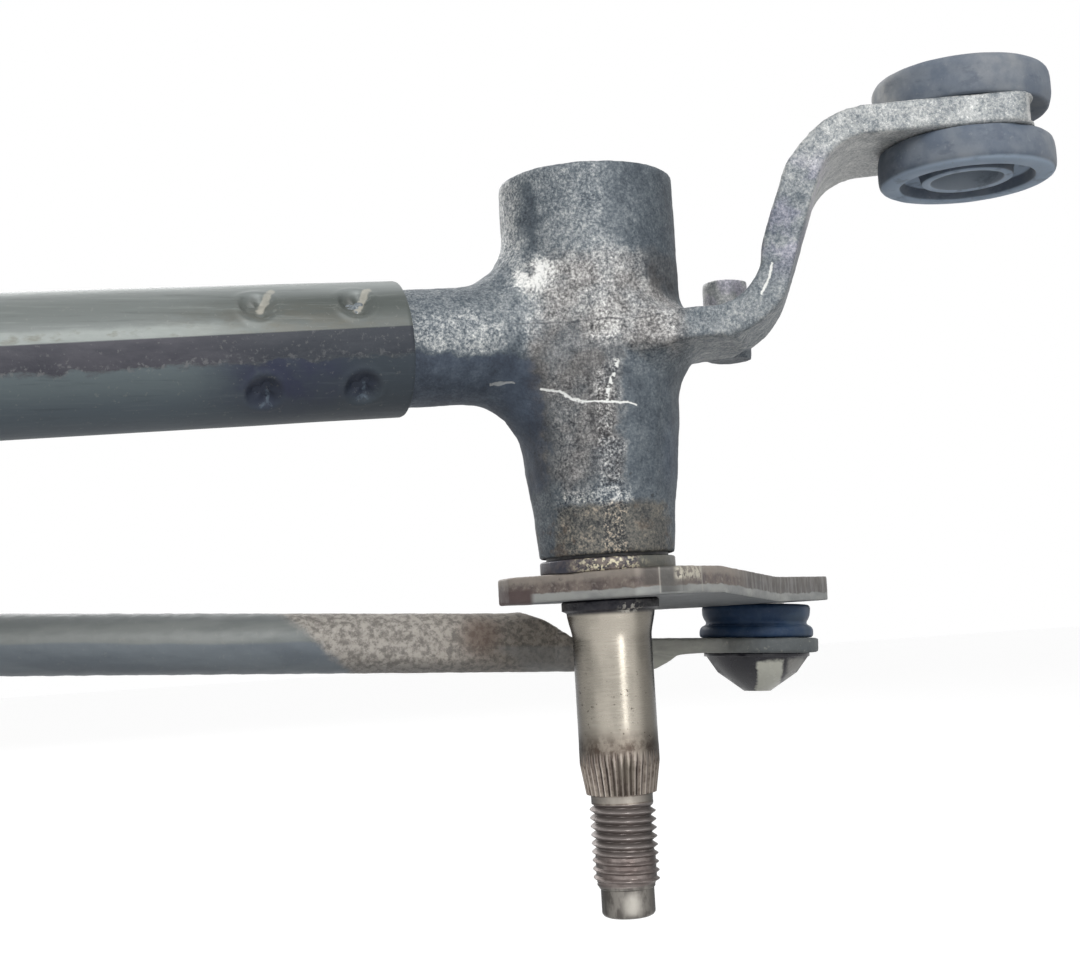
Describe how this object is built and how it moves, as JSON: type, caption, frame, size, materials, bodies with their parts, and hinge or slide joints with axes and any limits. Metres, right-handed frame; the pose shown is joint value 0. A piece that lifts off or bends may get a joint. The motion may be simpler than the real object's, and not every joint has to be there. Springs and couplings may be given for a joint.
{
  "type": "windshield wiper motor and linkage",
  "caption": "Reversing gear motor on a tube frame that swings splined wiper pivot shafts through a crank, parallel link rods and levers, held by rubber-bushed ears.",
  "frame": {"origin": "on the right-hand pivot shaft's axis, at the upper end of its knurled cone", "axes": "+Z along the pivot shafts away from the wiper arms, +X along the frame tube from the left-hand pivot to the right-hand one"},
  "size_m": [0.59, 0.1421, 0.1425],
  "materials": {
    "cast_metal": "as cast, dulled by weather",
    "gear_case_metal": "die cast",
    "tube_steel": "worn dark coating over steel",
    "plated_steel": "dull zinc plating",
    "shaft_steel": "ground steel",
    "rusty_steel": "pressed steel, light rust",
    "hard_steel": "polished ball",
    "dark_rubber": "dusty black rubber",
    "seal_rubber": "black rubber",
    "socket_plastic": "glossy moulded plastic",
    "black_plastic": "glass-filled moulded plastic",
    "gear_plastic": "natural moulded plastic",
    "bronze": "sintered bronze",
    "copper": "enamelled copper",
    "can_paint": "black paint on drawn steel",
    "lamination": "stacked laminations",
    "ferrite": "sintered ferrite",
    "carbon": "carbon"
  },
  "bodies": {
    "frame": {"right_pivot_housing": "cast_metal", "right_lower_bush": "bronze", "right_upper_bush": "bronze", "right_shaft_seal": "seal_rubber", "right_grommet": "dark_rubber", "left_pivot_housing": "cast_metal", "left_lower_bush": "bronze", "left_upper_bush": "bronze", "left_shaft_seal": "seal_rubber", "left_grommet": "dark_rubber", "frame_tube": "tube_steel", "motor_bracket": "plated_steel", "bracket_grommet": "dark_rubber", "motor_bolts": "plated_steel", "gear_housing": "gear_case_metal", "gear_cover": "black_plastic", "cover_screws": "plated_steel", "connector": "black_plastic", "terminals": "copper", "output_bush": "bronze", "motor_can": "can_paint", "can_bearing": "bronze", "can_screws": "plated_steel", "magnets": "ferrite", "brush_holder": "black_plastic", "brushes": "carbon"},
    "armature": {"armature_shaft": "shaft_steel", "armature_core": "lamination", "armature_windings": "copper", "commutator": "copper"},
    "crank": {"output_shaft": "shaft_steel", "output_spacer": "plated_steel", "output_retaining_ring": "hard_steel", "worm_wheel": "gear_plastic", "crank_arm": "plated_steel", "crank_nut": "plated_steel", "right_crank_ball_stud": "hard_steel", "left_crank_ball_stud": "hard_steel"},
    "right_pivot": {"right_pivot_shaft": "shaft_steel", "right_lever": "rusty_steel", "right_lever_ball_stud": "hard_steel", "right_thrust_washer": "plated_steel", "right_top_washer": "plated_steel", "right_retaining_ring": "hard_steel"},
    "left_pivot": {"left_pivot_shaft": "shaft_steel", "left_lever": "rusty_steel", "left_lever_ball_stud": "hard_steel", "left_thrust_washer": "plated_steel", "left_top_washer": "plated_steel", "left_retaining_ring": "hard_steel"},
    "right_link": {"right_link_rod": "tube_steel", "right_lever_socket": "socket_plastic", "right_crank_socket": "socket_plastic", "right_lever_boot": "dark_rubber", "right_crank_boot": "dark_rubber"},
    "left_link": {"left_link_rod": "tube_steel", "left_lever_socket": "socket_plastic", "left_crank_socket": "socket_plastic", "left_lever_boot": "dark_rubber", "left_crank_boot": "dark_rubber"}
  },
  "joints": [
    {"name": "armature_spin", "type": "hinge", "parent": "frame", "child": "armature", "pos_m": [-0.23, 0.063, 0.08026], "axis": [1, 0, 0], "range_deg": [0, 4950]},
    {"name": "crank_swing", "type": "hinge", "parent": "frame", "child": "crank", "pos_m": [-0.23, 0.03, 0.04], "axis": [0, 0, 1], "range_deg": [0, 90]},
    {"name": "right_pivot_swing", "type": "hinge", "parent": "frame", "child": "right_pivot", "pos_m": [0, 0, 0], "axis": [0, 0, 1], "range_deg": [0, 90]},
    {"name": "left_pivot_swing", "type": "hinge", "parent": "frame", "child": "left_pivot", "pos_m": [-0.46, 0, 0], "axis": [0, 0, 1], "range_deg": [0, 90]},
    {"name": "right_link_swing", "type": "hinge", "parent": "crank", "child": "right_link", "pos_m": [-0.19352, 0.05369, 0.0282], "axis": [0, 0, 1], "range_deg": [-90, 0]},
    {"name": "left_link_swing", "type": "hinge", "parent": "crank", "child": "left_link", "pos_m": [-0.21162, 0.06942, 0.0282], "axis": [0, 0, 1], "range_deg": [-90, 0]}
  ],
  "couplings": [
    {"joint": "crank_swing", "follows": "armature_spin", "ratio": 0.018182},
    {"joint": "right_pivot_swing", "follows": "armature_spin", "ratio": 0.018182},
    {"joint": "left_pivot_swing", "follows": "armature_spin", "ratio": 0.018182},
    {"joint": "right_link_swing", "follows": "armature_spin", "ratio": -0.018182},
    {"joint": "left_link_swing", "follows": "armature_spin", "ratio": -0.018182}
  ]
}
